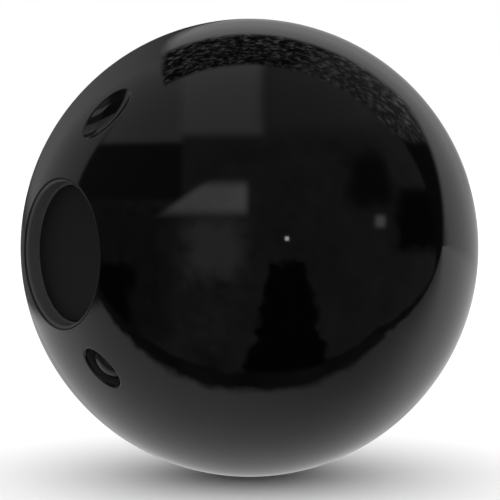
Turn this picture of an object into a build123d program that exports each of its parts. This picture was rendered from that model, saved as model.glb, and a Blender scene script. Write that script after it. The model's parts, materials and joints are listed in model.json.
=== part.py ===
"""Case opening friction ball: a hollow, air-filled ball of soft tacky rubber for turning watch case backs.

The ball's centre is the origin and +Z is up. A round recess with a matte base disc faces -X. Beside it
are an oval valve port, closed by a push-in stopper, and an oval dimple. Sizes are in millimetres.
"""

import os
from math import asin, cos, radians, sin, sqrt

from build123d import *

# Shells: a tacky cover moulded in two halves over a firmer core in two halves
ball_diameter = 65.0
cover_wall = 3.0
core_wall = 2.8

# Seams: the halves butt at the outside of a shell, and cement fills a well on its inside
cover_well_width = 0.8
cover_well_depth = 1.8
core_well_width = 1.0
core_well_depth = 1.4

# Recess on the -X side: the cover is a cup there, and the core has a pocket for the cup
recess_diameter = 19.2
recess_depth = 2.0
recess_lip = 0.5
cup_wall = 1.8
cup_floor = 1.5
pocket_floor = 1.8

# Base disc, cemented into a seat that leaves a narrow ledge round the recess's floor
disc_thickness = 1.2
disc_ledge = 0.4
disc_side_gap = 0.05
disc_cement_thickness = 0.15

# Oval valve port: the self-sealing sleeve's boss fills it up to its floor
port_length = 6.3
port_width = 3.9
port_depth = 1.4
port_lip = 0.35
port_land = 3.1
port_turn = 158.7
port_lean = -12.5
sleeve_diameter = 3.8
sleeve_reach = 2.0
sleeve_end_wall = 1.0
slit_length = 1.6
slit_width = 0.12

# Push-in stopper: a domed oval head, wider than its round stem, with a gap round it for a fingernail
stem_diameter = 2.0
stem_clearance = 0.05
stem_tip_gap = 0.4
stem_tip_chamfer = 0.3
head_rim = 0.45
head_height = 1.2

# Blind oval dimple, a smooth bowl
dimple_length = 8.7
dimple_width = 5.6
dimple_depth = 1.5
dimple_lip = 0.45
dimple_land = 5.4
dimple_turn = 12.0
dimple_lean = 12.9

# Worked out from the sizes above: places along the recess's axis are X, others are radii
ball_radius = ball_diameter / 2
cover_inner = ball_radius - cover_wall
core_inner = cover_inner - core_wall
recess_radius = recess_diameter / 2
cup_radius = recess_radius + cup_wall
rim_x = -sqrt(ball_radius**2 - recess_radius**2)
disc_face_x = rim_x + recess_depth
disc_back_x = disc_face_x + disc_thickness
seat_x = disc_back_x + disc_cement_thickness
cup_back_x = seat_x + cup_floor
pocket_back_x = cup_back_x + pocket_floor
seat_radius = recess_radius - disc_ledge
disc_radius = seat_radius - disc_side_gap
port_floor = ball_radius - port_depth
port_root = sqrt(cover_inner**2 - (port_length / 2) ** 2)
head_width = stem_diameter + 2 * head_rim
head_length = head_width + port_length - port_width
sleeve_end = core_inner - sleeve_reach
bore_radius = stem_diameter / 2 + stem_clearance
bore_end = sleeve_end + sleeve_end_wall
stem_end = bore_end + stem_tip_gap
recess_angle = asin((recess_radius + recess_lip) / ball_radius)


def plane_beside_recess(land, half_length, turn, lean):
    """Plane through the ball's centre whose normal leaves through an oval beside the recess.

    The land is the strip of cover between the recess's lip and the oval. The turn runs about -X, from
    straight up towards -Y. The plane's X is the oval's long axis: it points away from the recess, and
    leans from there towards the way the turn runs.
    """
    p = recess_angle + (land + half_length) / ball_radius
    t = radians(turn)
    outward = Vector(-cos(p), -sin(p) * sin(t), sin(p) * cos(t))
    away = Vector(sin(p), -cos(p) * sin(t), cos(p) * cos(t))
    long_axis = away.rotate(Axis((0, 0, 0), outward), -lean)
    return Plane(origin=(0, 0, 0), x_dir=long_axis, z_dir=outward)


port_plane = plane_beside_recess(port_land, port_length / 2 + port_lip, port_turn, port_lean)
dimple_plane = plane_beside_recess(
    dimple_land, dimple_length / 2 + dimple_lip, dimple_turn, dimple_lean
)


def ball_drop(half_chord):
    """How far the ball's outside drops from the middle of an opening to its end."""
    return ball_radius - sqrt(ball_radius**2 - half_chord**2)


def round_wheel(plane, floor, half_length, half_width, length_rise, width_rise):
    """Wheel with a round tread that touches the floor: its lowest part is a smooth oval bowl.

    The rises are the bowl's heights over its floor at the ends of its length and of its width.
    """
    wheel_radius = (half_length**2 + length_rise**2) / (2 * length_rise)
    tread_radius = (half_width**2 + width_rise**2) / (2 * width_rise)
    hub_radius = wheel_radius - tread_radius
    hub = plane.z_dir * (floor + wheel_radius)
    with BuildPart() as wheel:
        with BuildSketch(Plane(origin=hub, x_dir=plane.y_dir, z_dir=plane.x_dir)):
            with Locations((0, -hub_radius)):
                Circle(tread_radius)
            with Locations((0, -hub_radius / 2)):
                Rectangle(2 * tread_radius, hub_radius)
            with Locations((0, -wheel_radius / 2)):
                Rectangle(2 * tread_radius, wheel_radius, mode=Mode.INTERSECT)
        revolve(axis=Axis(hub, plane.y_dir))
    return wheel.part


def span(x_from, x_to, height, mode=Mode.ADD):
    """Rectangle across the X axis in the open sketch, between two X values."""
    with Locations(((x_from + x_to) / 2, 0)):
        Rectangle(abs(x_to - x_from), 2 * height, mode=mode)


def keep_quarter(side):
    """Trim the open sketch to one side of the seam, above the X axis, ready to revolve."""
    with Locations((side * ball_radius / 2, ball_radius / 2)):
        Rectangle(ball_radius, ball_radius, mode=Mode.INTERSECT)


def shell_profile(outer, inner, well_width, well_depth, side):
    """Quarter profile of a plain half shell, with its half of the seam's cement well."""
    with BuildSketch() as profile:
        Circle(outer)
        Circle(inner, mode=Mode.SUBTRACT)
        span(0, side * well_width / 2, inner + well_depth, mode=Mode.SUBTRACT)
        keep_quarter(side)
    return profile.sketch


def cement_profile(inner, well_width, well_depth):
    """Profile of the cement that fills both halves of a seam's well."""
    with BuildSketch() as profile:
        with Locations((0, inner + well_depth / 2)):
            Rectangle(well_width, well_depth)
    return profile.sketch


def mouth_edges(builder):
    """Edges that the last cut left in the ball's outer surface."""
    return builder.edges(Select.LAST).filter_by(
        lambda edge: abs((edge @ 0.5).length - ball_radius) < 0.01
    )


# Dimple's cutter, which meets the ball's outside at the dimple's length and width
dimple_cutter = round_wheel(
    dimple_plane,
    ball_radius - dimple_depth,
    dimple_length / 2,
    dimple_width / 2,
    dimple_depth - ball_drop(dimple_length / 2),
    dimple_depth - ball_drop(dimple_width / 2),
)

# Cover half with the recess's cup, the port and the dimple
with BuildPart() as cover_recess_half:
    with BuildSketch() as cup_profile:
        add(shell_profile(ball_radius, cover_inner, cover_well_width, cover_well_depth, -1))
        span(-ball_radius, cup_back_x, cup_radius)
        Circle(ball_radius, mode=Mode.INTERSECT)
        span(-ball_radius, disc_face_x, recess_radius, mode=Mode.SUBTRACT)
        span(disc_face_x, seat_x, seat_radius, mode=Mode.SUBTRACT)
        keep_quarter(-1)
        fillet(cup_profile.vertices().sort_by(Axis.X)[0], recess_lip)
    revolve(axis=Axis.X)
    with BuildSketch(port_plane.offset(port_root)):
        Ellipse(port_length / 2, port_width / 2)
    extrude(amount=ball_radius, mode=Mode.SUBTRACT)
    fillet(mouth_edges(cover_recess_half), port_lip)
    add(dimple_cutter, mode=Mode.SUBTRACT)
    fillet(mouth_edges(cover_recess_half), dimple_lip)

# Plain cover half
with BuildPart() as cover_plain_half:
    add(shell_profile(ball_radius, cover_inner, cover_well_width, cover_well_depth, 1))
    revolve(axis=Axis.X)

# Cement between the cover's halves
with BuildPart() as cover_seam_cement:
    add(cement_profile(cover_inner, cover_well_width, cover_well_depth))
    revolve(axis=Axis.X)

# Core half with the pocket for the cup, flat behind it, and the sleeve's hole
with BuildPart() as core_recess_half:
    with BuildSketch() as pocket_profile:
        add(shell_profile(cover_inner, core_inner, core_well_width, core_well_depth, -1))
        span(-cover_inner, pocket_back_x, cover_inner)
        Circle(cover_inner, mode=Mode.INTERSECT)
        span(-cover_inner, cup_back_x, cup_radius, mode=Mode.SUBTRACT)
        keep_quarter(-1)
    revolve(axis=Axis.X)
    with BuildSketch(port_plane.offset(sleeve_end)):
        Circle(sleeve_diameter / 2)
    extrude(amount=ball_radius, mode=Mode.SUBTRACT)

# Plain core half
with BuildPart() as core_plain_half:
    add(shell_profile(cover_inner, core_inner, core_well_width, core_well_depth, 1))
    revolve(axis=Axis.X)

# Cement between the core's halves
with BuildPart() as core_seam_cement:
    add(cement_profile(core_inner, core_well_width, core_well_depth))
    revolve(axis=Axis.X)

# Matte base disc
with BuildPart() as base_disc:
    with BuildSketch(Plane.YZ.offset(disc_face_x)):
        Circle(disc_radius)
    extrude(amount=disc_thickness)

# Cement under the disc
with BuildPart() as disc_cement:
    with BuildSketch(Plane.YZ.offset(disc_back_x)):
        Circle(disc_radius)
    extrude(amount=disc_cement_thickness)

# Sleeve's round body, from the core's outer face inwards
with BuildPart() as sleeve_body:
    with BuildSketch(port_plane.offset(sleeve_end)):
        Circle(sleeve_diameter / 2)
    extrude(amount=ball_radius)
    Sphere(cover_inner, mode=Mode.INTERSECT)

# Sleeve: an oval boss seated on the core, a blind bore for the stopper, and a slit that air can pass
with BuildPart() as valve_sleeve:
    with BuildSketch(port_plane.offset(port_floor)):
        Ellipse(port_length / 2, port_width / 2)
    extrude(amount=-port_floor)
    Sphere(cover_inner, mode=Mode.SUBTRACT)
    add(sleeve_body.part)
    with BuildSketch(port_plane.offset(port_floor)):
        Circle(bore_radius)
    extrude(amount=bore_end - port_floor, mode=Mode.SUBTRACT)
    with BuildSketch(port_plane.offset(bore_end)):
        Rectangle(slit_length, slit_width)
    extrude(amount=sleeve_end - bore_end, mode=Mode.SUBTRACT)

# Stopper: an upturned bowl as its head on the port's floor, and a stem with a chamfered tip
port_plane_inward = Plane(origin=(0, 0, 0), x_dir=port_plane.x_dir, z_dir=-port_plane.z_dir)
head_top = port_floor + head_height
with BuildPart() as valve_stopper:
    add(
        round_wheel(
            port_plane_inward, -head_top, head_length / 2, head_width / 2, head_height, head_height
        )
    )
    with BuildSketch(port_plane.offset(port_floor)):
        Rectangle(2 * head_length, 2 * head_width)
    extrude(amount=2 * head_height, mode=Mode.INTERSECT)
    with BuildSketch(port_plane.offset(port_floor)):
        Circle(stem_diameter / 2)
    extrude(amount=stem_end - port_floor)
    outward_axis = Axis((0, 0, 0), port_plane.z_dir)
    chamfer(valve_stopper.faces().sort_by(outward_axis)[0].edges(), stem_tip_chamfer)

pieces = {
    "cover_recess_half": cover_recess_half,
    "cover_plain_half": cover_plain_half,
    "cover_seam_cement": cover_seam_cement,
    "core_recess_half": core_recess_half,
    "core_plain_half": core_plain_half,
    "core_seam_cement": core_seam_cement,
    "base_disc": base_disc,
    "disc_cement": disc_cement,
    "valve_sleeve": valve_sleeve,
    "valve_stopper": valve_stopper,
}

os.makedirs("parts", exist_ok=True)
for name, piece in pieces.items():
    piece.part.label = name
    export_step(piece.part, f"parts/{name}.step")
    print(f"{name:20s} {piece.part.volume:10.2f} mm3")

outward = port_plane.z_dir
print(f"port axis {outward.X:.6f} {outward.Y:.6f} {outward.Z:.6f}, floor at radius {port_floor:.3f}")
print(f"stem engages {port_floor - stem_end:.2f} mm; bore radius {bore_radius:.2f} mm")
print(f"recess rim at X {rim_x:.3f}, disc face at X {disc_face_x:.3f}")
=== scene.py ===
"""Looks of a case opening friction ball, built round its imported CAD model.

The ball's centre is the origin, +Z is up and a round recess faces -X. Every piece is a closed skin in
metres, in the model's own frame. Beside the recess are an oval valve port with its stopper, and an oval
dimple.
"""

import json
from math import asin, atan, cos, pi, radians, sin, sqrt

import bpy
from bpy.props import FloatProperty, FloatVectorProperty, IntProperty, PointerProperty
from mathutils import Matrix, Vector
from mathutils.geometry import delaunay_2d_cdt


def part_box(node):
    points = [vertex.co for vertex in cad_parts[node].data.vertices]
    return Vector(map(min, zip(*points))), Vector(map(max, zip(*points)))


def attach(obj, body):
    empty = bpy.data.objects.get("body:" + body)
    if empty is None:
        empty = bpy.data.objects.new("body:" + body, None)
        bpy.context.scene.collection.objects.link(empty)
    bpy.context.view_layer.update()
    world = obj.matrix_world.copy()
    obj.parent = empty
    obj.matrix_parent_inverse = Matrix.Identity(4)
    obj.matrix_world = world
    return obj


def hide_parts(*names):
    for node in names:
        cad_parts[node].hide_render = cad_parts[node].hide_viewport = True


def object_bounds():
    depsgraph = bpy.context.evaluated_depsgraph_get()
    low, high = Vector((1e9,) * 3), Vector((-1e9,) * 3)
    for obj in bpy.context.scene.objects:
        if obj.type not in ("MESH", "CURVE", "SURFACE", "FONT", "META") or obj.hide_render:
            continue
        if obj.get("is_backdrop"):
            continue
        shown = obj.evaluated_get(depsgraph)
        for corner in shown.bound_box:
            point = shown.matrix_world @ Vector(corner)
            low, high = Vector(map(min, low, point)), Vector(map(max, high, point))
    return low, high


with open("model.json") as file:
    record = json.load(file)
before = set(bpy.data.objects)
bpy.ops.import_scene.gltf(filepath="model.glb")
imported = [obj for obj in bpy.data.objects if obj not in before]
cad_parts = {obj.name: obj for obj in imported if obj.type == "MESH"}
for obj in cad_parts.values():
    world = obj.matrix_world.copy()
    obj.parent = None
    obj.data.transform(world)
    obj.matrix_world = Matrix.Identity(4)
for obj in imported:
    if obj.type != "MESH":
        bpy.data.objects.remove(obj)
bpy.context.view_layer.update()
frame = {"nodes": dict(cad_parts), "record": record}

bl_info = {
    "name": "Case Opening Friction Ball",
    "version": (1, 0, 0),
    "blender": (4, 5, 0),
    "location": "3D Viewport > Sidebar > Friction Ball",
    "description": "Builds the looks of a watchmaker's rubber friction ball round its CAD frame",
    "category": "Object",
}

MM = 0.001
MOUNTS = {mount["name"]: mount for mount in frame["record"]["mounts"]}
BALL_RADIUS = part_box("cover_plain_half")[1].x
RECESS_RADIUS = MOUNTS["base_recess"]["dims"]["r_mm"] * MM
DISC_FACE_X = MOUNTS["disc_face"]["pos_m"][0]
DISC_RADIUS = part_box("base_disc")[1].z
DISC_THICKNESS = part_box("base_disc")[1].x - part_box("base_disc")[0].x
SEAT_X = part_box("disc_cement")[1].x
OVAL_POINTS = 96
FACET = 0.9 * MM
WELD = 0.002 * MM
NEAR_SKIN = 0.05 * MM
FINE_GRAIN = 3200.0
RUBBER_IOR = 1.5
DISC_IOR = 1.48
CEMENT_IOR = 1.52


def length(name, description, default):
    """A size in metres, with its unit shown."""
    return FloatProperty(
        name=name, description=description, default=default, unit="LENGTH", subtype="DISTANCE", precision=5
    )


def angle(name, description, degrees):
    """An angle, given here in degrees."""
    return FloatProperty(
        name=name, description=description, default=radians(degrees), unit="ROTATION", subtype="ANGLE"
    )


def share(name, description, default):
    """A number from 0 to 1."""
    return FloatProperty(
        name=name, description=description, default=default, min=0.0, max=1.0, subtype="FACTOR"
    )


def colour(name, description, default):
    """A linear colour."""
    return FloatVectorProperty(
        name=name, description=description, default=default, size=3, min=0.0, max=1.0, subtype="COLOR"
    )


class CoverSettings(bpy.types.PropertyGroup):
    """Sizes and finish of the glossy cover."""

    radius: length("Ball Radius", "Outside radius of the ball", BALL_RADIUS)
    wall: length("Cover Wall", "Thickness of the tacky cover", 3.0 * MM)
    well_width: length("Well Width", "Width of the seam's cement well", 0.8 * MM)
    well_depth: length("Well Depth", "Depth of the seam's cement well", 1.8 * MM)
    divisions: IntProperty(name="Divisions", description="Faces round the seam", default=240, min=48)
    colour: colour("Colour", "Colour of the black rubber", (0.0005, 0.0005, 0.0005))
    moulded_colour: colour("Moulded Colour", "Colour where the rubber isn't buffed", (0.04, 0.04, 0.04))
    roughness: share("Roughness", "Roughness where it is cleanest", 0.03)


class RecessSettings(bpy.types.PropertyGroup):
    """Sizes of the round base recess and its disc."""

    radius: length("Recess Radius", "Radius of the recess's wall", RECESS_RADIUS)
    lip: length("Recess Lip", "Radius of the rounded lip", 0.5 * MM)
    seat_radius: length("Seat Radius", "Radius of the seat under the disc", DISC_RADIUS + 0.05 * MM)
    cup_wall: length("Cup Wall", "Thickness of the cup's side", 1.8 * MM)
    cup_floor: length("Cup Floor", "Thickness of the cup's floor", 1.5 * MM)
    disc_edge: length("Disc Edge", "Radius of the disc's rounded edge", 0.15 * MM)
    disc_colour: colour("Disc Colour", "Colour of the matt disc", (0.002, 0.002, 0.002))


class ValveSettings(bpy.types.PropertyGroup):
    """Sizes of the oval valve port and its push-in stopper."""

    length: length("Port Length", "Length of the port", 6.3 * MM)
    width: length("Port Width", "Width of the port", 3.9 * MM)
    depth: length("Port Depth", "Depth of the port's floor", 1.4 * MM)
    lip: length("Port Lip", "Radius of the port's rounded lip", 0.35 * MM)
    land: length("Port Land", "Cover between the recess's lip and the port", 3.1 * MM)
    turn: angle("Port Turn", "Turn of the port round the recess", 158.7)
    lean: angle("Port Lean", "Lean of the port's long axis", -12.5)
    stem_radius: length("Stem Radius", "Radius of the stopper's stem", 1.0 * MM)
    stem_length: length("Stem Length", "Length of the stem under the port's floor", 5.0 * MM)
    tip_chamfer: length("Tip Chamfer", "Chamfer on the stem's tip", 0.3 * MM)
    head_rim: length("Head Rim", "Width of the head round its stem", 0.45 * MM)
    head_height: length("Head Height", "Height of the stopper's domed head", 1.2 * MM)
    colour: colour("Stopper Colour", "Colour of the stopper's hard rubber", (0.004, 0.004, 0.004))


class DimpleSettings(bpy.types.PropertyGroup):
    """Sizes of the blind oval dimple."""

    length: length("Dimple Length", "Length of the dimple", 8.7 * MM)
    width: length("Dimple Width", "Width of the dimple", 5.6 * MM)
    depth: length("Dimple Depth", "Depth of the dimple's floor", 1.5 * MM)
    lip: length("Dimple Lip", "Radius of the dimple's rounded lip", 0.45 * MM)
    land: length("Dimple Land", "Cover between the recess's lip and the dimple", 5.4 * MM)
    turn: angle("Dimple Turn", "Turn of the dimple round the recess", 12.0)
    lean: angle("Dimple Lean", "Lean of the dimple's long axis", 12.9)


class StageSettings(bpy.types.PropertyGroup):
    """The pale table, the studio's light and the camera."""

    azimuth: angle("Camera Azimuth", "Where the camera stands, round from -Y", -35.56)
    elevation: angle("Camera Elevation", "How far the camera looks down", 2.56)
    distance: length("Camera Distance", "From the camera to the ball's centre", 0.26)
    half_view: FloatProperty(name="Half View", description="Tangent of half the view", default=0.13752)
    shift_x: FloatProperty(name="Shift X", description="Camera's sideways shift", default=0.0011)
    shift_y: FloatProperty(name="Shift Y", description="Camera's upward shift", default=-0.0046)
    sheet_front: length("Sheet Front", "From the ball's centre to the pale sheet's front edge", 31.0 * MM)
    sheet_glow: share("Sheet Glow", "Brightness of the pale sheet in reflections", 0.71)
    backdrop_glow: share("Backdrop Glow", "Brightness of the pale backdrop in reflections", 0.54)
    room_glow: share("Room Glow", "Brightness of the dark room in reflections", 0.11)
    soft_light: FloatProperty(name="Soft Light", description="Light on matt surfaces", default=1.35)


class Socket:
    """A node's output, with arithmetic that adds Math nodes."""

    def __init__(self, net, link):
        self.net = net
        self.link = link

    def _math(self, operation, first, second=0.0):
        return self.net.node("ShaderNodeMath", {"operation": operation}, {0: first, 1: second})

    def __add__(self, other):
        return self._math("ADD", self, other)

    def __radd__(self, other):
        return self._math("ADD", other, self)

    def __sub__(self, other):
        return self._math("SUBTRACT", self, other)

    def __rsub__(self, other):
        return self._math("SUBTRACT", other, self)

    def __mul__(self, other):
        return self._math("MULTIPLY", self, other)

    def __rmul__(self, other):
        return self._math("MULTIPLY", other, self)

    def __truediv__(self, other):
        return self._math("DIVIDE", self, other)

    def __rtruediv__(self, other):
        return self._math("DIVIDE", other, self)

    def __abs__(self):
        return self._math("ABSOLUTE", self)

    def root(self):
        """Square root."""
        return self._math("SQRT", self)

    def larger(self, other):
        """The larger of two values."""
        return self._math("MAXIMUM", self, other)


class Net:
    """A node tree, with one method that adds any node."""

    def __init__(self, tree):
        self.tree = tree

    def node(self, kind, settings=None, inputs=None, output=0):
        """Add a node, set its settings and then its inputs, and return one of its outputs."""
        added = self.tree.nodes.new(kind)
        for name, value in (settings or {}).items():
            setattr(added, name, value)
        for name, value in (inputs or {}).items():
            for each in value if isinstance(value, list) else [value]:
                if isinstance(each, Socket):
                    self.tree.links.new(each.link, added.inputs[name])
                else:
                    added.inputs[name].default_value = each
        return Socket(self, added.outputs[output]) if len(added.outputs) else None

    def fade(self, value, start, end):
        """1 up to the start, 0 past the end, and smooth between them."""
        return self.node(
            "ShaderNodeMapRange",
            {"interpolation_type": "SMOOTHSTEP"},
            {"Value": value, "From Min": start, "From Max": end, "To Min": 1.0, "To Max": 0.0},
        )

    def rise(self, value, start, end):
        """0 up to the start, 1 past the end, and smooth between them."""
        return 1.0 - self.fade(value, start, end)

    def along(self, place, axis):
        """How far a place is along an axis."""
        return self.node("ShaderNodeVectorMath", {"operation": "DOT_PRODUCT"}, {0: place, 1: axis}, output=1)

    def part(self, place, axis):
        """One part of a place: 0 for X, 1 for Y or 2 for Z."""
        return self.node("ShaderNodeSeparateXYZ", None, {"Vector": place}, output=axis)

    def noise(self, place, scale, detail=2.0, roughness=0.5):
        """Soft noise from 0 to 1, with its scale in cells to a metre."""
        inputs = {"Vector": place, "Scale": scale, "Detail": detail, "Roughness": roughness}
        return self.node("ShaderNodeTexNoise", None, inputs)

    def blend(self, factor, first, second):
        """Mix two colours, each a socket or three numbers."""
        first, second = (tint if isinstance(tint, Socket) else (*tint, 1.0) for tint in (first, second))
        inputs = {"Factor": factor, 6: first, 7: second}
        return self.node("ShaderNodeMix", {"data_type": "RGBA"}, inputs, output=2)

    def stretched(self, place, scale):
        """A place, scaled by its own number along each axis."""
        return self.node("ShaderNodeMapping", None, {"Vector": place, "Scale": scale})

    def specks(self, place, scale, size, chosen):
        """Small round specks, in a chosen share of the cells."""
        settings = {"voronoi_dimensions": "3D"}
        inputs = {"Vector": place, "Scale": scale}
        near = self.node("ShaderNodeTexVoronoi", settings, inputs)
        cell = self.node("ShaderNodeTexVoronoi", settings, inputs, output=1)
        lot = self.node("ShaderNodeSeparateColor", None, {"Color": cell})
        return self.fade(near, size * scale * 0.6, size * scale) * self.fade(lot, chosen, chosen + 0.01)


def apart(first, second):
    """The distance that two parts at right angles make."""
    return (first * first + second * second).root()


def new_material(name):
    """A new material, its empty net and the place on its object."""
    material = bpy.data.materials.new(name)
    material.use_nodes = True
    material.node_tree.nodes.clear()
    net = Net(material.node_tree)
    return material, net, net.node("ShaderNodeTexCoord", output=3)


def close_material(net, tone, roughness, ior, height, depth):
    """Add the Principled shader and the output, with a height from 0 to 1 as bumps of a given depth."""
    normal = net.node("ShaderNodeBump", None, {"Strength": 1.0, "Distance": depth, "Height": height})
    inputs = {"Base Color": tone, "Roughness": roughness, "IOR": ior, "Normal": normal}
    shader = net.node("ShaderNodeBsdfPrincipled", None, inputs)
    net.node("ShaderNodeOutputMaterial", None, {"Surface": shader})


def shades(base, dark, pale):
    """A darker and a paler shade of a colour."""
    return [[channel * change for channel in base] for change in (dark, pale)]


def placed(name, data):
    """A new object in the scene."""
    piece = bpy.data.objects.new(name, data)
    bpy.context.scene.collection.objects.link(piece)
    return piece


def tacky_gloss(settings, recess):
    """Black tacky rubber, buffed to a mirror, with faint hazes and a few specks of dust.

    The buffing wheel doesn't reach inside the recess and the port, where the rubber is as matt as it left
    its mould.
    """
    material, net, place = new_material("tacky_cover_gloss")
    from_axis = apart(net.part(place, 1), net.part(place, 2))
    moulded = net.fade(from_axis, recess.radius + recess.lip * 0.15, recess.radius + recess.lip * 0.7)
    moulded = moulded * net.fade(net.part(place, 0), DISC_FACE_X / 2, DISC_FACE_X / 4)
    radius = net.node("ShaderNodeVectorMath", {"operation": "LENGTH"}, {0: place}, output=1)
    sunk = net.fade(radius, settings.radius - 0.5 * MM, settings.radius - 0.2 * MM)
    moulded = moulded.larger(sunk * net.fade(net.part(place, 2), -2.0 * MM, 2.0 * MM) * 0.5)
    grain = net.noise(place, FINE_GRAIN, detail=3.0, roughness=0.6)
    haze = net.noise(place, 70.0, detail=3.0)
    smear = net.noise(place, 260.0, detail=4.0, roughness=0.6)
    dust = net.specks(place, 170.0, 0.11 * MM, 0.1)
    fine_dust = net.specks(place, 420.0, 0.06 * MM, 0.06)
    dusty = dust.larger(fine_dust)
    peel = net.noise(place, 330.0, detail=1.0)
    ripple = net.noise(place, 90.0, detail=1.0)
    buffed = settings.roughness + haze * 0.02 + smear * haze * 0.03 + dusty * 0.5
    skin = net.blend(dusty, settings.colour, (0.05, 0.05, 0.048))
    tone = net.blend(moulded, skin, settings.moulded_colour)
    wheel_marks = peel * 0.12 + ripple * 0.88
    height = wheel_marks + (grain * 2.5 - wheel_marks) * moulded
    close_material(net, tone, buffed + (0.6 - buffed) * moulded, RUBBER_IOR, height, 0.009 * MM)
    return material


def matt_disc(settings):
    """Matt fine-grained rubber, with pale specks painted on as glints, mostly along one side of its edge."""
    material, net, place = new_material("disc_rubber_matt")
    grain = net.noise(place, FINE_GRAIN, detail=3.0, roughness=0.6)
    patches = net.noise(place, 240.0, detail=3.0)
    # Painted glints: pale specks at full strength near the disc's -Y edge, and faint elsewhere.
    glint_side = net.rise(0.0 - net.part(place, 1), DISC_RADIUS * 0.6, DISC_RADIUS * 0.95)
    glint_specks = net.specks(place, 950.0, 0.26 * MM, 0.16) * (0.1 + glint_side * 0.9)
    tone = net.blend(grain * 0.5 + patches * 0.5, *shades(settings.disc_colour, 0.62, 1.5))
    # The pale colour of the painted glint specks.
    tone = net.blend(glint_specks, tone, (0.09, 0.09, 0.088))
    roughness = 0.62 + patches * 0.16 - glint_specks * 0.2
    close_material(net, tone, roughness, DISC_IOR, grain + glint_specks * 0.5, 0.03 * MM)
    return material


def satin_rubber(name, base, roughness, grain_scale, grain_height):
    """Moulded satin rubber with a fine grain and soft changes of tone."""
    material, net, place = new_material(name)
    grain = net.noise(place, grain_scale, detail=3.0)
    patches = net.noise(place, 300.0, detail=2.0)
    tone = net.blend(patches, *shades(base, 0.7, 1.35))
    roughness = roughness + grain * 0.12 + patches * 0.08
    close_material(net, tone, roughness, RUBBER_IOR, grain, grain_height)
    return material


def cured_cement():
    """Amber rubber cement, semi-gloss, with bubbles."""
    material, net, place = new_material("rubber_cement_amber")
    bubbles = net.specks(place, 1500.0, 0.2 * MM, 0.3)
    clouds = net.noise(place, 500.0, detail=3.0)
    tone = net.blend(clouds, (0.12, 0.085, 0.045), (0.21, 0.16, 0.1))
    close_material(net, tone, 0.3 + clouds * 0.15, CEMENT_IOR, clouds - bubbles * 0.6, 0.05 * MM)
    return material


class Oval:
    """An oval beside the recess: its outline, and its place on the ball."""

    def __init__(self, sizes, ball_radius, recess):
        lean_over = asin((recess.radius + recess.lip) / ball_radius)
        lean_over += (sizes.land + sizes.length / 2 + sizes.lip) / ball_radius
        tilt = Vector((0.0, -sin(sizes.turn), cos(sizes.turn)))
        away = Vector((sin(lean_over), 0.0, 0.0)) + tilt * cos(lean_over)
        self.outward = Vector((-cos(lean_over), 0.0, 0.0)) + tilt * sin(lean_over)
        self.along = Matrix.Rotation(-sizes.lean, 3, self.outward) @ away
        self.across = self.outward.cross(self.along)
        self.ball_radius = ball_radius

    def place(self, along, across, height):
        """A point, by its distances along and across the oval and its height over the ball's centre."""
        return self.along * along + self.across * across + self.outward * height

    def outline(self, half_length, half_width, count):
        """Points round an ellipse, each with its sideways normal."""
        for step in range(count):
            x, y = cos(2 * pi * step / count), sin(2 * pi * step / count)
            slope = Vector((half_width * x, half_length * y)).normalized()
            yield Vector((half_length * x, half_width * y)), self.along * slope.x + self.across * slope.y

    def holds(self, point, half_length, half_width):
        """True where a point on the ball lies inside an ellipse of the given size."""
        if point.dot(self.outward) < 0:
            return False
        return (point.dot(self.along) / half_length) ** 2 + (point.dot(self.across) / half_width) ** 2 < 1


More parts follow.
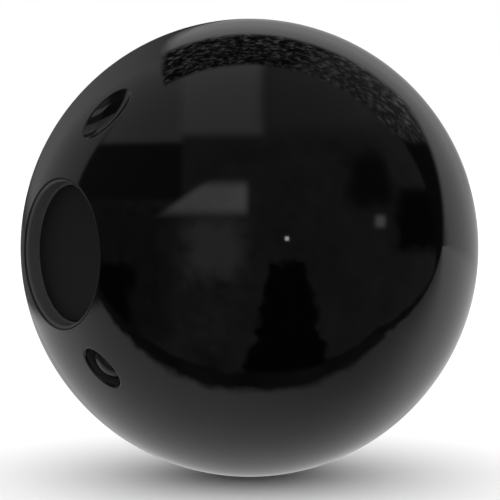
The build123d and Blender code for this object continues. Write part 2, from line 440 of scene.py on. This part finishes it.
class Skin:
    """A closed surface under construction, with the exact normal at each corner of each face.

    A ring is a list of (point number, normal) pairs. Where two surfaces meet at a hard edge, a second
    ring has the same point numbers and the other surface's normals.
    """

    def __init__(self):
        self.points = []
        self.faces = []
        self.normals = []

    def ring(self, places_and_normals):
        """Add the points of a ring."""
        made = []
        for place, normal in places_and_normals:
            made.append((len(self.points), normal))
            self.points.append(place)
        return made

    def on_sphere(self, ring, radius):
        """The same ring with the normals of a sphere, which look inward where its radius is negative."""
        return [(number, self.points[number] / radius) for number, _ in ring]

    def face(self, corners):
        """Add a face, wound so that it looks the way its corners' normals do."""
        first, second, third = (self.points[corners[i][0]] for i in (0, 1, -1))
        opposite = self.points[corners[2][0]]
        facing = (opposite - first).cross(third - second) if len(corners) == 4 else None
        facing = facing or (second - first).cross(third - first)
        total = sum((normal for _, normal in corners), Vector())
        if facing.dot(total) < 0:
            corners = corners[::-1]
        self.faces.append([number for number, _ in corners])
        self.normals.extend(normal for _, normal in corners)

    def band(self, first, second):
        """Join two rings of the same count."""
        for here in range(len(first)):
            there = (here + 1) % len(first)
            self.face([first[here], first[there], second[there], second[here]])

    def fan(self, ring, place, normal):
        """Close a ring to one point."""
        tip = (len(self.points), normal)
        self.points.append(place)
        for here in range(len(ring)):
            self.face([ring[here], ring[(here + 1) % len(ring)], tip])

    def turned(self, runs, count):
        """Turn a profile about X. Its runs are smooth, with hard edges between them.

        A stop of a run is (x, radius, normal's x, normal's radial part). Returns the first and last rings.
        """
        turns = [2 * pi * step / count for step in range(count)]
        round_x = [Vector((0.0, sin(turn), cos(turn))) for turn in turns]
        first, last = None, None
        for run in runs:
            for number, (x, radius, nx, nr) in enumerate(run):
                normals = [Vector((nx, 0.0, 0.0)) + way * nr for way in round_x]
                if radius == 0:
                    self.fan(last, Vector((x, 0.0, 0.0)), Vector((nx, 0.0, 0.0)))
                    continue
                if number == 0 and last:
                    last = [(point, normal) for (point, _), normal in zip(last, normals)]
                    continue
                places = [Vector((x, 0.0, 0.0)) + way * radius for way in round_x]
                ring = self.ring(zip(places, normals))
                if last:
                    self.band(last, ring)
                first = first or ring
                last = ring
        return first, last

    def globe(self, radius, facing, outside, holes, spacing, taken):
        """Fill a sphere's surface between an outside ring and the rings of its holes."""
        loops = [outside, *holes]
        chosen = [number for loop in loops for number, _ in loop]
        low = min(self.points[number].x for number in chosen)
        high = max(self.points[number].x for number in chosen)
        edge_angle = asin(min(1.0, sqrt(radius**2 - low**2) / radius))
        far_angle = pi / 2 - asin(-high / radius)
        rows = round((far_angle - edge_angle) * radius / spacing)
        for row in range(1, rows):
            polar = edge_angle + (far_angle - edge_angle) * row / rows
            count = round(2 * pi * sin(polar) * radius / spacing)
            for step in range(count):
                turn = 2 * pi * (step + row % 2 / 2) / count
                point = Vector((-cos(polar), sin(polar) * sin(turn), sin(polar) * cos(turn))) * radius
                if not taken(point):
                    chosen.append(len(self.points))
                    self.points.append(point)
        flat = [Vector((self.points[n].y, self.points[n].z)) / (radius - self.points[n].x) for n in chosen]
        edges, owner, start = [], {}, 0
        for name, loop in enumerate(loops):
            edges += [(start + i, start + (i + 1) % len(loop)) for i in range(len(loop))]
            owner.update({number: name for number, _ in loop if name})
            start += len(loop)
        result = delaunay_2d_cdt(flat, edges, [], 0, 1e-9)
        triangles, origins = result[2], result[3]
        for triangle in triangles:
            numbers = [chosen[origins[corner][0]] for corner in triangle]
            owners = {owner.get(number) for number in numbers}
            if len(owners) == 1 and None not in owners:
                continue
            self.face([(number, self.points[number] * (facing / radius)) for number in numbers])

    def build(self, name, material):
        """Make the object, with its exact normals."""
        mesh = bpy.data.meshes.new(name)
        mesh.from_pydata([tuple(point) for point in self.points], [], self.faces)
        mesh.shade_smooth()
        mesh.normals_split_custom_set([tuple(normal) for normal in self.normals])
        mesh.materials.append(material)
        return placed(name, mesh)


def arc_run(centre, radius, start, end, steps, side=1.0):
    """A run of a turned profile along an arc, between two directions given as angles from +X."""
    run = []
    for step in range(steps + 1):
        turn = start + (end - start) * step / steps
        x, r = cos(turn), sin(turn)
        run.append((centre[0] + radius * x, centre[1] + radius * r, side * x, side * r))
    return run


def rounded_lip(skin, lip, centres, steps=6):
    """Rings of a rounded lip, from the ball's outside to a wall. Each centre has the wall's normal."""
    rings = []
    for step in range(steps + 1):
        stops = []
        for centre, wall in centres:
            normal = centre.normalized().slerp(wall, step / steps)
            stops.append((centre + normal * lip, normal))
        rings.append(skin.ring(stops))
    for outer, inner in zip(rings, rings[1:]):
        skin.band(outer, inner)
    return rings[0], rings[-1]


def port_lip(skin, oval, port, count):
    """The port's rounded lip, over its upright wall."""
    centres = []
    for point, sideways in oval.outline(port.length / 2, port.width / 2, count):
        middle = point + Vector((sideways.dot(oval.along), sideways.dot(oval.across))) * port.lip
        height = sqrt((oval.ball_radius - port.lip) ** 2 - middle.length_squared)
        centres.append((oval.place(*middle, height), -sideways))
    return rounded_lip(skin, port.lip, centres)


def port_wall(skin, oval, port, last, inside_radius, count):
    """The port's wall from its lip to the cover's inside, and the ring there."""
    stops = []
    for point, sideways in oval.outline(port.length / 2, port.width / 2, count):
        height = sqrt(inside_radius**2 - point.length_squared)
        stops.append((oval.place(*point, height), -sideways))
    foot = skin.ring(stops)
    skin.band(last, foot)
    return skin.on_sphere(foot, -inside_radius)


class Bowl:
    """A smooth oval bowl: the lowest part of a wheel with a round tread, whose axle lies across the oval.

    With a side of -1 it is upturned, as a dome under its middle.
    """

    def __init__(self, oval, middle, half_length, half_width, length_rise, width_rise, side=1):
        self.oval = oval
        self.height = middle
        self.half_length = half_length
        self.half_width = half_width
        self.side = side
        wheel = (half_length**2 + length_rise**2) / (2 * length_rise)
        self.tread = (half_width**2 + width_rise**2) / (2 * width_rise)
        self.hub = wheel - self.tread
        self.axle = middle + wheel * side

    def middle(self, place):
        """The middle of the tread's circle nearest to a place."""
        along = place.dot(self.oval.along)
        low = self.axle - place.dot(self.oval.outward)
        reach = sqrt(along**2 + low**2)
        return self.oval.place(along * self.hub / reach, 0.0, self.axle - low * self.hub / reach)

    def spot(self, along, across):
        """A point of the bowl and its normal, by its distances along and across the oval."""
        reach = self.hub + sqrt(self.tread**2 - across**2)
        place = self.oval.place(along, across, self.axle - sqrt(reach**2 - along**2) * self.side)
        return place, (self.middle(place) - place).normalized() * self.side

    def rim(self, count, height_at, gap):
        """Places round the bowl at given heights, a gap away from its surface, with the bowl's normals."""
        stops = []
        for step in range(count):
            turn = 2 * pi * step / count
            inner, outer = 0.5, 1.5
            for _ in range(40):
                size = (inner + outer) / 2
                along, across = self.half_length * size * cos(turn), self.half_width * size * sin(turn)
                place = self.oval.place(along, across, height_at(along, across))
                inward = self.middle(place) - place
                inner, outer = (size, outer) if inward.length < self.tread + gap else (inner, size)
            stops.append((place, inward.normalized() * self.side))
        return stops

    def fill(self, skin, last, steps=16):
        """Rings of the bowl from its rim to its middle."""
        slope = asin(self.half_width / self.tread)
        outline = [skin.points[number] for number, _ in last]
        for step in range(1, steps):
            size = sin(slope * (1 - step / steps)) / sin(slope)
            stops = [
                self.spot(place.dot(self.oval.along) * size, place.dot(self.oval.across) * size)
                for place in outline
            ]
            ring = skin.ring(stops)
            skin.band(last, ring)
            last = ring
        skin.fan(last, self.oval.outward * self.height, self.oval.outward)


def dimple_bowl(skin, oval, dimple, count):
    """The dimple's rounded lip and its bowl, and the ring that the lip leaves on the ball."""
    radius = oval.ball_radius
    half_length, half_width = dimple.length / 2, dimple.width / 2
    rises = [dimple.depth - radius + sqrt(radius**2 - half**2) for half in (half_length, half_width)]
    bowl = Bowl(oval, radius - dimple.depth, half_length, half_width, *rises)

    def height_at(along, across):
        return sqrt((radius - dimple.lip) ** 2 - along**2 - across**2)

    mouth, last = rounded_lip(skin, dimple.lip, bowl.rim(count, height_at, dimple.lip))
    bowl.fill(skin, last)
    return mouth


def recess_cup(skin, cover, recess, count):
    """The recess's lip, wall, ledge and seat, and the ring that its lip leaves on the ball."""
    lip_radius = recess.radius + recess.lip
    lip_x = -sqrt((cover.radius - recess.lip) ** 2 - lip_radius**2)
    lip_start = pi - atan(lip_radius / -lip_x)
    runs = [
        arc_run((lip_x, lip_radius), recess.lip, lip_start, 1.5 * pi, 8)
        + [(DISC_FACE_X, recess.radius, 0, -1)],
        [(DISC_FACE_X, recess.radius, -1, 0), (DISC_FACE_X, recess.seat_radius, -1, 0)],
        [(DISC_FACE_X, recess.seat_radius, 0, -1), (SEAT_X, recess.seat_radius, 0, -1)],
        [(SEAT_X, recess.seat_radius, -1, 0), (SEAT_X, recess.seat_radius / 2, -1, 0), (SEAT_X, 0, -1, 0)],
    ]
    return skin.turned(runs, count)[0]


def cup_back(skin, recess, inside_radius, count):
    """The cup's outside behind the recess, and the ring where it meets the cover's inside."""
    outer = recess.radius + recess.cup_wall
    back = SEAT_X + recess.cup_floor
    root = -sqrt(inside_radius**2 - outer**2)
    runs = [
        [(root, outer, 0, 1), (back, outer, 0, 1)],
        [(back, outer, 1, 0), (back, outer / 2, 1, 0), (back, 0, 1, 0)],
    ]
    return skin.on_sphere(skin.turned(runs, count)[0], -inside_radius)


def seam_face(skin, cover, inside_radius, count):
    """The seam's flat face and cement well, with the rings on the ball's outside and inside."""
    well_radius = inside_radius + cover.well_depth
    well_x = -cover.well_width / 2
    inner = sqrt(inside_radius**2 - well_x**2)
    runs = [
        [(0, cover.radius, 1, 0), (0, well_radius, 1, 0)],
        [(0, well_radius, 0, -1), (well_x, well_radius, 0, -1)],
        [(well_x, well_radius, 1, 0), (well_x, inner, 1, 0)],
    ]
    first, last = skin.turned(runs, count)
    return skin.on_sphere(first, cover.radius), skin.on_sphere(last, -inside_radius)


def half_shell_tree():
    """Geometry Nodes: a plain half shell is its profile turned about the ball's axis."""
    tree = bpy.data.node_groups.new("Half Shell", "GeometryNodeTree")
    kinds = dict.fromkeys(("Radius", "Wall", "Well Width", "Well Depth"), "Float")
    for name, kind in {**kinds, "Divisions": "Int", "Material": "Material"}.items():
        tree.interface.new_socket(name, in_out="INPUT", socket_type="NodeSocket" + kind)
    tree.interface.new_socket("Geometry", in_out="OUTPUT", socket_type="NodeSocketGeometry")
    net = Net(tree)
    entry = tree.nodes.new("NodeGroupInput")
    radius, wall, well_width, well_depth, divisions, material = (
        Socket(net, entry.outputs[number]) for number in range(6)
    )
    inside = radius - wall
    well_radius = inside + well_depth
    low = 0.0 - well_width / 2
    foot_radius = (inside * inside - low * low).root()
    foot_turn = net.node("ShaderNodeMath", {"operation": "ARCTAN2"}, {0: low, 1: foot_radius})
    rows = net.node("ShaderNodeMath", {"operation": "ROUND"}, {0: divisions / 4})

    def spot(x, y):
        return net.node("ShaderNodeCombineXYZ", None, {"X": x, "Y": y})

    def arc(arc_radius, start, sweep):
        inputs = {"Resolution": rows, "Radius": arc_radius, "Start Angle": start, "Sweep Angle": sweep}
        return net.node("GeometryNodeCurveArc", {"mode": "RADIUS"}, inputs)

    def line(start, end):
        return net.node("GeometryNodeCurvePrimitiveLine", {"mode": "POINTS"}, {"Start": start, "End": end})

    profile = [
        arc(radius, -pi / 2, pi / 2),
        line(spot(radius, 0.0), spot(well_radius, 0.0)),
        line(spot(well_radius, 0.0), spot(well_radius, low)),
        line(spot(well_radius, low), spot(foot_radius, low)),
        arc(inside, foot_turn, -pi / 2 - foot_turn),
    ]
    joined = net.node("GeometryNodeJoinGeometry", None, {"Geometry": profile})
    centred = net.node(
        "GeometryNodeTransform", None, {"Geometry": joined, "Translation": spot(0.0 - radius, 0.0)}
    )
    circle = net.node(
        "GeometryNodeCurvePrimitiveCircle", {"mode": "RADIUS"}, {"Resolution": divisions, "Radius": radius}
    )
    turned = net.node("GeometryNodeCurveToMesh", None, {"Curve": circle, "Profile Curve": centred})
    welded = net.node("GeometryNodeMergeByDistance", None, {"Geometry": turned, "Distance": WELD})
    laid = net.node("GeometryNodeTransform", None, {"Geometry": welded, "Rotation": (0.0, pi / 2, 0.0)})
    smooth = net.node("GeometryNodeSetShadeSmooth", None, {"Geometry": laid})
    real = net.node("GeometryNodeRealizeInstances", None, {"Geometry": smooth})
    painted = net.node("GeometryNodeSetMaterial", None, {"Geometry": real, "Material": material})
    net.node("NodeGroupOutput", None, {"Geometry": painted})
    return tree


def made_by_nodes(name, tree, values):
    """Run a geometry tree with named values, and keep its result as a plain mesh object."""
    carrier = placed(name + "_carrier", bpy.data.meshes.new(name + "_carrier"))
    modifier = carrier.modifiers.new("shape", "NODES")
    modifier.node_group = tree
    for item in tree.interface.items_tree:
        if item.in_out == "INPUT":
            modifier[item.identifier] = values[item.name]
    graph = bpy.context.evaluated_depsgraph_get()
    mesh = bpy.data.meshes.new_from_object(carrier.evaluated_get(graph))
    carrier.modifiers.remove(modifier)
    bpy.data.objects.remove(carrier)
    mesh.name = name
    return placed(name, mesh)


def plain_shell_normals(mesh, cover):
    """Give a plain half shell's skins their exact radial normals, and leave its seam flat."""
    inside_radius = cover.radius - cover.wall
    normals = []
    for polygon in mesh.polygons:
        for number in polygon.vertices:
            place = mesh.vertices[number].co
            if abs(polygon.center.length - cover.radius) < NEAR_SKIN and polygon.center.x > WELD:
                normals.append(place.normalized())
            elif abs(polygon.center.length - inside_radius) < NEAR_SKIN:
                normals.append(-place.normalized())
            else:
                normals.append(polygon.normal)
    mesh.normals_split_custom_set([tuple(normal) for normal in normals])


def settled(piece, body, node):
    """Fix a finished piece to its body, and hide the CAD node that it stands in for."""
    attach(piece, body)
    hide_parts(node)


class BALL_OT_plain_half(bpy.types.Operator):
    """Make the cover's plain half, the side that is pressed on the watch"""

    bl_idname = "friction_ball.plain_half"
    bl_label = "Plain Cover Half"

    def execute(self, context):
        cover = context.scene.ball_cover
        values = {
            "Radius": cover.radius,
            "Wall": cover.wall,
            "Well Width": cover.well_width,
            "Well Depth": cover.well_depth,
            "Divisions": cover.divisions,
            "Material": tacky_gloss(cover, context.scene.ball_recess),
        }
        piece = made_by_nodes("cover_plain_half_skin", half_shell_tree(), values)
        plain_shell_normals(piece.data, cover)
        settled(piece, "ball", "cover_plain_half")
        return {"FINISHED"}


class BALL_OT_recess_half(bpy.types.Operator):
    """Make the cover half with the recess, the valve port and the dimple"""

    bl_idname = "friction_ball.recess_half"
    bl_label = "Recess Cover Half"

    def execute(self, context):
        scene = context.scene
        cover, recess = scene.ball_cover, scene.ball_recess
        port, dimple = scene.ball_valve, scene.ball_dimple
        inside_radius = cover.radius - cover.wall
        count = cover.divisions
        skin = Skin()
        port_oval = Oval(port, cover.radius, recess)
        dimple_oval = Oval(dimple, cover.radius, recess)

        mouth = recess_cup(skin, cover, recess, count)
        port_mouth, port_last = port_lip(skin, port_oval, port, OVAL_POINTS)
        dimple_mouth = dimple_bowl(skin, dimple_oval, dimple, OVAL_POINTS)
        port_foot = port_wall(skin, port_oval, port, port_last, inside_radius, OVAL_POINTS)
        back = cup_back(skin, recess, inside_radius, count)
        seam_outside, seam_inside = seam_face(skin, cover, inside_radius, count)

        def near_oval(point):
            for oval, sizes in ((port_oval, port), (dimple_oval, dimple)):
                margin = sizes.lip + FACET * 0.6
                if oval.holds(point, sizes.length / 2 + margin, sizes.width / 2 + margin):
                    return True
            return False

        mouths = [mouth, port_mouth, dimple_mouth]
        skin.globe(cover.radius, 1.0, seam_outside, mouths, FACET, near_oval)
        skin.globe(inside_radius, -1.0, seam_inside, [back, port_foot], FACET * 2, near_oval)
        piece = skin.build("cover_recess_half_skin", bpy.data.materials["tacky_cover_gloss"])
        settled(piece, "ball", "cover_recess_half")
        return {"FINISHED"}


class BALL_OT_base_disc(bpy.types.Operator):
    """Make the matt disc on the recess's floor"""

    bl_idname = "friction_ball.base_disc"
    bl_label = "Base Disc"

    def execute(self, context):
        recess = context.scene.ball_recess
        edge = recess.disc_edge
        face, back, radius = DISC_FACE_X, DISC_FACE_X + DISC_THICKNESS, DISC_RADIUS
        skin = Skin()
        runs = [
            [(face, radius * size, -1, 0) for size in (0.25, 0.5, 0.75)]
            + arc_run((face + edge, radius - edge), edge, pi, pi / 2, 5)
            + [(back, radius, 0, 1)],
            [(back, radius, 1, 0), (back, radius / 2, 1, 0), (back, 0, 1, 0)],
        ]
        first = skin.turned(runs, context.scene.ball_cover.divisions)[0]
        skin.fan(first, Vector((face, 0.0, 0.0)), Vector((-1.0, 0.0, 0.0)))
        piece = skin.build("base_disc_skin", matt_disc(recess))
        settled(piece, "ball", "base_disc")
        return {"FINISHED"}


class BALL_OT_stopper(bpy.types.Operator):
    """Make the push-in stopper: a domed oval head on a round stem"""

    bl_idname = "friction_ball.stopper"
    bl_label = "Valve Stopper"

    def execute(self, context):
        scene = context.scene
        valve = scene.ball_valve
        oval = Oval(valve, scene.ball_cover.radius, scene.ball_recess)
        floor = scene.ball_cover.radius - valve.depth
        half_width = valve.stem_radius + valve.head_rim
        half_length = half_width + (valve.length - valve.width) / 2
        rise = valve.head_height
        skin = Skin()
        ways = [way for _, way in oval.outline(1.0, 1.0, OVAL_POINTS)]

        head = Bowl(oval, floor + rise, half_length, half_width, rise, rise, side=-1)
        head_foot = skin.ring(head.rim(OVAL_POINTS, lambda along, across: floor, 0.0))
        head.fill(skin, head_foot)

        def facing(ring, lean):
            """The same ring, with normals that lean from sideways to inward."""
            normals = [way * cos(lean) - oval.outward * sin(lean) for way in ways]
            return [(number, normal) for (number, _), normal in zip(ring, normals)]

        def stem_ring(radius, height, lean):
            """A ring round the stem."""
            return facing(skin.ring([(oval.outward * height + way * radius, way) for way in ways]), lean)

        tip = floor - valve.stem_length
        chamfer = valve.tip_chamfer
        shoulder = stem_ring(valve.stem_radius, floor, 0.0)
        skin.band(facing(head_foot, pi / 2), facing(shoulder, pi / 2))
        waist = stem_ring(valve.stem_radius, tip + chamfer, 0.0)
        skin.band(shoulder, waist)
        end = stem_ring(valve.stem_radius - chamfer, tip, pi / 4)
        skin.band(facing(waist, pi / 4), end)
        skin.fan(facing(end, pi / 2), oval.outward * tip, -oval.outward)
        finish = satin_rubber("stopper_rubber_satin", valve.colour, 0.16, 2400.0, 0.004 * MM)
        piece = skin.build("valve_stopper_skin", finish)
        settled(piece, "stopper", "valve_stopper")
        return {"FINISHED"}


class BALL_OT_inner_parts(bpy.types.Operator):
    """Give the core, the sleeve and the cement their own rubbers"""

    bl_idname = "friction_ball.inner_parts"
    bl_label = "Inner Parts"

    def execute(self, context):
        core = satin_rubber("core_rubber_satin", (0.07, 0.06, 0.055), 0.5, 900.0, 0.02 * MM)
        sleeve = satin_rubber("valve_rubber_satin", (0.012, 0.012, 0.0125), 0.38, 1800.0, 0.01 * MM)
        cement = cured_cement()
        finishes = {
            "core_recess_half": core,
            "core_plain_half": core,
            "valve_sleeve": sleeve,
            "cover_seam_cement": cement,
            "core_seam_cement": cement,
            "disc_cement": cement,
        }
        for node, finish in finishes.items():
            mesh = frame["nodes"][node].data
            mesh.materials.clear()
            mesh.materials.append(finish)
        return {"FINISHED"}


def table(settings, top, front, right):
    """A pale table. In reflections it is a lit sheet with a dark front edge, and the room past that."""
    size = 4.0
    corners = [(-size, -size, top), (size, -size, top), (size, size, top), (-size, size, top)]
    mesh = bpy.data.meshes.new("table")
    mesh.from_pydata(corners, [], [(0, 1, 2, 3)])
    piece = placed("table", mesh)
    material, net, place = new_material("pale_table")
    toward, across = net.along(place, front), net.along(place, right)
    wander = net.noise(place, 160.0, detail=4.0)
    past_right = (across - 56.0 * MM).larger(0.0)
    edge = toward + (wander - 0.5) * 5.0 * MM + across * 0.05 + past_right * 0.3
    inside = settings.sheet_front - edge
    lit = net.rise(inside, -1.8 * MM, 1.8 * MM)
    rightward = net.rise(across, -10.0 * MM, 30.0 * MM)
    shade = net.fade(inside, 0.0, 32.0 * MM) * (0.22 + rightward * 0.3)
    far = net.rise(inside, 120.0 * MM, 400.0 * MM)
    past_left = net.rise(0.0 - across, 75.0 * MM, 105.0 * MM)
    under = net.fade(apart(net.part(place, 0), net.part(place, 1)), 4.0 * MM, 15.0 * MM)
    rearward = 3.0 * MM - toward - across * across * 17.6
    behind = net.rise(rearward, 0.0, 14.0 * MM) * net.fade(across, 25.0 * MM, 40.0 * MM)
    dimming = (1.0 - shade) * (1.0 - far * 0.24) * (1.0 - past_left * 0.8) * (1.0 - under * 0.15)
    glow = settings.sheet_glow * dimming * (1.0 - behind * 0.27) * lit + (1.0 - lit) * wander * 0.1
    solid = net.rise(inside, -7.5 * MM, -5.5 * MM)
    matt = net.node("ShaderNodeBsdfDiffuse", None, {"Color": (0.93, 0.93, 0.93, 1.0)})
    sheet = net.node("ShaderNodeEmission", None, {"Strength": glow})
    past_edge = net.node("ShaderNodeBsdfTransparent")
    mirrored = net.node("ShaderNodeMixShader", None, {"Fac": solid, 1: past_edge, 2: sheet})
    rays = net.node("ShaderNodeLightPath", output=3)
    mixed = net.node("ShaderNodeMixShader", None, {"Fac": rays, 1: matt, 2: mirrored})
    net.node("ShaderNodeOutputMaterial", None, {"Surface": mixed})
    mesh.materials.append(material)
    piece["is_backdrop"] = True


def card(net, across, up, centre, half, soft):
    """1 on a soft-edged card of the studio, placed as on a mirror ball seen from the front."""
    side = net.fade(abs(across - centre[0]), half[0] - soft, half[0] + soft)
    return side * net.fade(abs(up - centre[1]), half[1] - soft, half[1] + soft)


def lay(level, mask, value):
    """Cover a level with a value where the mask is 1."""
    return level + (value - level) * mask


def painted_room(net, settings, front, right, up):
    """Brightness of a dark room with pale cards, a side wall, a shelf of books and a pale backdrop."""
    way = net.node("ShaderNodeTexCoord", output=0)
    forward, x, y = (net.along(way, axis) for axis in (front, right, up))
    spread = ((1.0 + forward) * 2.0).larger(0.0001).root()
    across, high = x / spread, y / spread
    rim = apart(across, high)
    clutter = net.noise(way, 9.0, detail=5.0, roughness=0.65)
    shapes = net.noise(way, 2.6, detail=2.0)
    level = settings.room_glow * (0.2 + clutter * 0.9 + shapes * 0.9)
    wavy = net.noise(way, 5.0, detail=4.0, roughness=0.6)
    loose = across + (wavy - 0.5) * 0.16
    loose_high = high + (clutter - 0.5) * 0.12
    wedge = abs(loose - 0.16) + (high + 0.1) * 0.22
    hanging = across - (high - 0.452) * 0.71
    # A card: its own sideways and upward measure, centre, half size, softness and brightness.
    cards = [
        (loose, loose_high, (-0.6, -0.1), (0.26, 0.3), 0.06, 0.03 + clutter * 0.08),
        (loose, loose_high, (-0.15, -0.2), (0.13, 0.2), 0.06, 0.05 + clutter * 0.18),
        (loose, loose_high, (-0.14, 0.0), (0.11, 0.12), 0.06, 0.36),
        (loose, loose_high, (-0.56, -0.2), (0.07, 0.14), 0.03, 0.005),
        (wedge, loose_high, (-0.3, -0.56), (0.38, 0.5), 0.02, 0.004),
        (loose, loose_high, (0.73, 0.12), (0.12, 0.13), 0.04, 0.01),
        (loose, loose_high, (0.5, 0.28), (0.09, 0.11), 0.05, 0.03),
        (across, high, (-0.52, 0.32), (0.24, 0.125), 0.02, 0.045),
        (across, high, (-0.64, 0.72), (0.36, 0.28), 0.02, 0.36),
        (across, high, (-0.115, 0.635), (0.175, 0.165), 0.03, 0.5),
        (across, high, (0.3, 0.63), (0.24, 0.14), 0.06, 0.2),
        (hanging, high, (-0.65, 0.452), (0.032, 0.17), 0.015, 0.03),
        (across, high, (0.545, 0.11), (0.02, 0.024), 0.015, 0.9),
    ]
    for sideways, upward, centre, half, soft, value in cards:
        level = lay(level, card(net, sideways, upward, centre, half, soft), value)
    slanted = (high - 0.17) * 1.41 - 0.335 - across
    pane = net.fade(slanted, -0.04, 0.02) * net.fade(across, -0.03, 0.01)
    pane = pane * net.fade(abs(high - 0.205), 0.03, 0.09)
    level = lay(level, pane, 0.82 + wavy * 0.3 + across * 0.6)
    behind = (0.0 - forward).larger(0.001)
    along, rise = x / behind, y / behind
    right_arc = net.rise(rim, 0.775, 0.795) * net.rise(across, 0.25, 0.5)
    level = lay(level, right_arc * net.fade(high, 0.42, 0.55), 0.02)
    back = net.rise(rim, 0.76, 0.78)
    left = net.fade(along + rise * 0.555, 0.08, 0.18)
    side_wall = 0.36 - (0.36 + along * 0.45).larger(0.0)
    low_wall = 0.35 + 0.65 * net.rise(rise, 0.02, 0.16)
    level = lay(level, back * left, side_wall * low_wall)
    books = net.noise(net.stretched(way, (34.0, 34.0, 10.0)), 1.0, detail=4.0, roughness=0.75)
    dark_band = back * (1.0 - left) * net.fade(0.0 - high, -0.5, -0.42)
    lit_side = net.rise(along - rise * 0.2, 0.0, 0.6)
    level = lay(level, dark_band, ((books - 0.5) * 3.0).larger(0.0) + 0.012 + lit_side * 0.08)
    backdrop_edge = 0.907 - (0.097 - high * 0.16).larger(0.0)
    pale = net.rise(rim - backdrop_edge, -0.012, 0.012) * (1.0 - left)
    pale = pale * net.fade(along, 1.9, 3.2) * net.fade(rise, 1.05, 1.3)
    dusk = net.rise(rim, 0.95, 0.98) * net.rise(high, 0.08, 0.35)
    level = lay(level, pale, settings.backdrop_glow * (1.0 - dusk * 0.25))
    lamp = card(net, across, high, (0.155, 0.038), (0.008, 0.008), 0.003)
    return level + lamp * 7.0


def studio_light(settings, front, right, up):
    """White light for the table and matt surfaces, and the painted room in reflections."""
    world = bpy.data.worlds.new("studio")
    bpy.context.scene.world = world
    world.use_nodes = True
    world.cycles.sampling_method = "NONE"
    world.node_tree.nodes.clear()
    net = Net(world.node_tree)
    level = painted_room(net, settings, front, right, up)
    rays = net.node("ShaderNodeLightPath", output=3)
    matt_light = net.node("ShaderNodeLightPath", output=2) * (settings.soft_light - 1.0) + 1.0
    strength = rays * level + (1.0 - rays) * matt_light
    light = net.node("ShaderNodeBackground", None, {"Color": (1.0, 1.0, 1.0, 1.0), "Strength": strength})
    net.node("ShaderNodeOutputWorld", None, {"Surface": light})


class BALL_OT_stage(bpy.types.Operator):
    """Set the pale table, the studio's soft light and the camera"""

    bl_idname = "friction_ball.stage"
    bl_label = "Stage"

    def execute(self, context):
        scene = context.scene
        stage = scene.ball_stage
        turn, tilt = stage.azimuth, stage.elevation
        toward = Vector((sin(turn) * cos(tilt), -cos(turn) * cos(tilt), sin(tilt)))
        right = Vector((cos(turn), sin(turn), 0.0))
        up = Vector((-sin(turn) * sin(tilt), cos(turn) * sin(tilt), cos(tilt)))
        table(stage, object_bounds()[0].z, toward, right)
        studio_light(stage, toward, right, up)
        lens = bpy.data.cameras.new("camera")
        lens.sensor_width = 36.0
        lens.lens = lens.sensor_width / (2 * stage.half_view)
        lens.shift_x = stage.shift_x
        lens.shift_y = stage.shift_y
        lens.clip_start = 0.01
        camera = placed("camera", lens)
        camera.matrix_world = Matrix.Translation(toward * stage.distance) @ Matrix(
            (right, up, toward)
        ).transposed().to_4x4()
        scene.camera = camera
        scene.view_settings.view_transform = "Standard"
        return {"FINISHED"}


class BALL_PT_panel(bpy.types.Panel):
    """Friction ball"""

    bl_idname = "BALL_PT_panel"
    bl_label = "Friction Ball"
    bl_space_type = "VIEW_3D"
    bl_region_type = "UI"
    bl_category = "Friction Ball"

    def draw(self, context):
        for name, group in SETTINGS.items():
            box = self.layout.box()
            box.label(text=group.__name__)
            for prop in group.__annotations__:
                box.prop(getattr(context.scene, name), prop)
        for operator in OPERATORS:
            self.layout.operator(operator.bl_idname)


SETTINGS = {
    "ball_cover": CoverSettings,
    "ball_recess": RecessSettings,
    "ball_valve": ValveSettings,
    "ball_dimple": DimpleSettings,
    "ball_stage": StageSettings,
}
OPERATORS = (
    BALL_OT_plain_half,
    BALL_OT_recess_half,
    BALL_OT_base_disc,
    BALL_OT_stopper,
    BALL_OT_inner_parts,
    BALL_OT_stage,
)


def register():
    """Register the settings, the operators and the panel."""
    for name, group in SETTINGS.items():
        bpy.utils.register_class(group)
        setattr(bpy.types.Scene, name, PointerProperty(type=group))
    for operator in OPERATORS:
        bpy.utils.register_class(operator)
    bpy.utils.register_class(BALL_PT_panel)


def unregister():
    """Take everything that register added away again."""
    bpy.utils.unregister_class(BALL_PT_panel)
    for operator in reversed(OPERATORS):
        bpy.utils.unregister_class(operator)
    for name, group in SETTINGS.items():
        delattr(bpy.types.Scene, name)
        bpy.utils.unregister_class(group)


def main():
    """Build the ball and its stage."""
    register()
    bpy.ops.friction_ball.plain_half()
    bpy.ops.friction_ball.recess_half()
    bpy.ops.friction_ball.base_disc()
    bpy.ops.friction_ball.stopper()
    bpy.ops.friction_ball.inner_parts()
    bpy.ops.friction_ball.stage()


if __name__ == "__main__":
    main()
